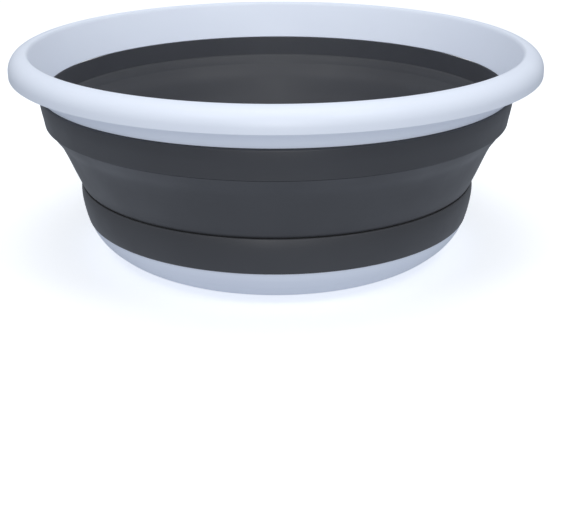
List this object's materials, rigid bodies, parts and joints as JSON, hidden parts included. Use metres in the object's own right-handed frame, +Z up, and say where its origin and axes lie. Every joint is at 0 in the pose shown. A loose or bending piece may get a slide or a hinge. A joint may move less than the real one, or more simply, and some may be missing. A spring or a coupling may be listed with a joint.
{
  "type": "folding foot basin",
  "caption": "Round folding basin for soaking feet: a hard white rim and a hard white dish joined by a dark soft wall that turns inside out so the basin presses flat.",
  "frame": {"origin": "centre of the dish's foot ring, on the floor the basin stands on", "axes": "+Z up along the axis the basin is turned about; +X and +Y are any two directions across it, because it is the same all round"},
  "size_m": [0.375, 0.375, 0.147],
  "materials": {
    "rim_plastic": "satin white polypropylene with a faint blue cast",
    "dish_plastic": "satin white polypropylene with a faint blue cast",
    "soft_wall": "matt dark grey thermoplastic rubber with a soft sheen"
  },
  "bodies": {
    "base": {"dish": "dish_plastic", "lower_band": "soft_wall"},
    "rim_hoop": {"rim": "rim_plastic", "upper_band": "soft_wall"},
    "wall_1": {"middle_wall_1": "soft_wall"},
    "wall_2": {"middle_wall_2": "soft_wall"},
    "wall_3": {"middle_wall_3": "soft_wall"},
    "wall_4": {"middle_wall_4": "soft_wall"},
    "wall_5": {"middle_wall_5": "soft_wall"},
    "wall_6": {"middle_wall_6": "soft_wall"},
    "wall_7": {"middle_wall_7": "soft_wall"}
  },
  "joints": [
    {"name": "collapse", "type": "slide", "parent": "base", "child": "rim_hoop", "axis": [0, 0, 1], "range_m": [-0.093, 0]},
    {"name": "wall_fold_1", "type": "slide", "parent": "base", "child": "wall_1", "axis": [0, 0, 1], "range_m": [-0.0925, 0]},
    {"name": "wall_fold_2", "type": "slide", "parent": "base", "child": "wall_2", "axis": [0, 0, 1], "range_m": [-0.0882, 0]},
    {"name": "wall_fold_3", "type": "slide", "parent": "base", "child": "wall_3", "axis": [0, 0, 1], "range_m": [-0.0797, 0]},
    {"name": "wall_fold_4", "type": "slide", "parent": "base", "child": "wall_4", "axis": [0, 0, 1], "range_m": [-0.0673, 0]},
    {"name": "wall_fold_5", "type": "slide", "parent": "base", "child": "wall_5", "axis": [0, 0, 1], "range_m": [-0.0516, 0]},
    {"name": "wall_fold_6", "type": "slide", "parent": "base", "child": "wall_6", "axis": [0, 0, 1], "range_m": [-0.0342, 0]},
    {"name": "wall_fold_7", "type": "slide", "parent": "base", "child": "wall_7", "axis": [0, 0, 1], "range_m": [-0.0174, 0]}
  ],
  "couplings": [
    {"joint": "wall_fold_1", "follows": "collapse", "ratio": 0.992},
    {"joint": "wall_fold_2", "follows": "collapse", "ratio": 0.946},
    {"joint": "wall_fold_3", "follows": "collapse", "ratio": 0.855},
    {"joint": "wall_fold_4", "follows": "collapse", "ratio": 0.721},
    {"joint": "wall_fold_5", "follows": "collapse", "ratio": 0.553},
    {"joint": "wall_fold_6", "follows": "collapse", "ratio": 0.366},
    {"joint": "wall_fold_7", "follows": "collapse", "ratio": 0.185}
  ]
}
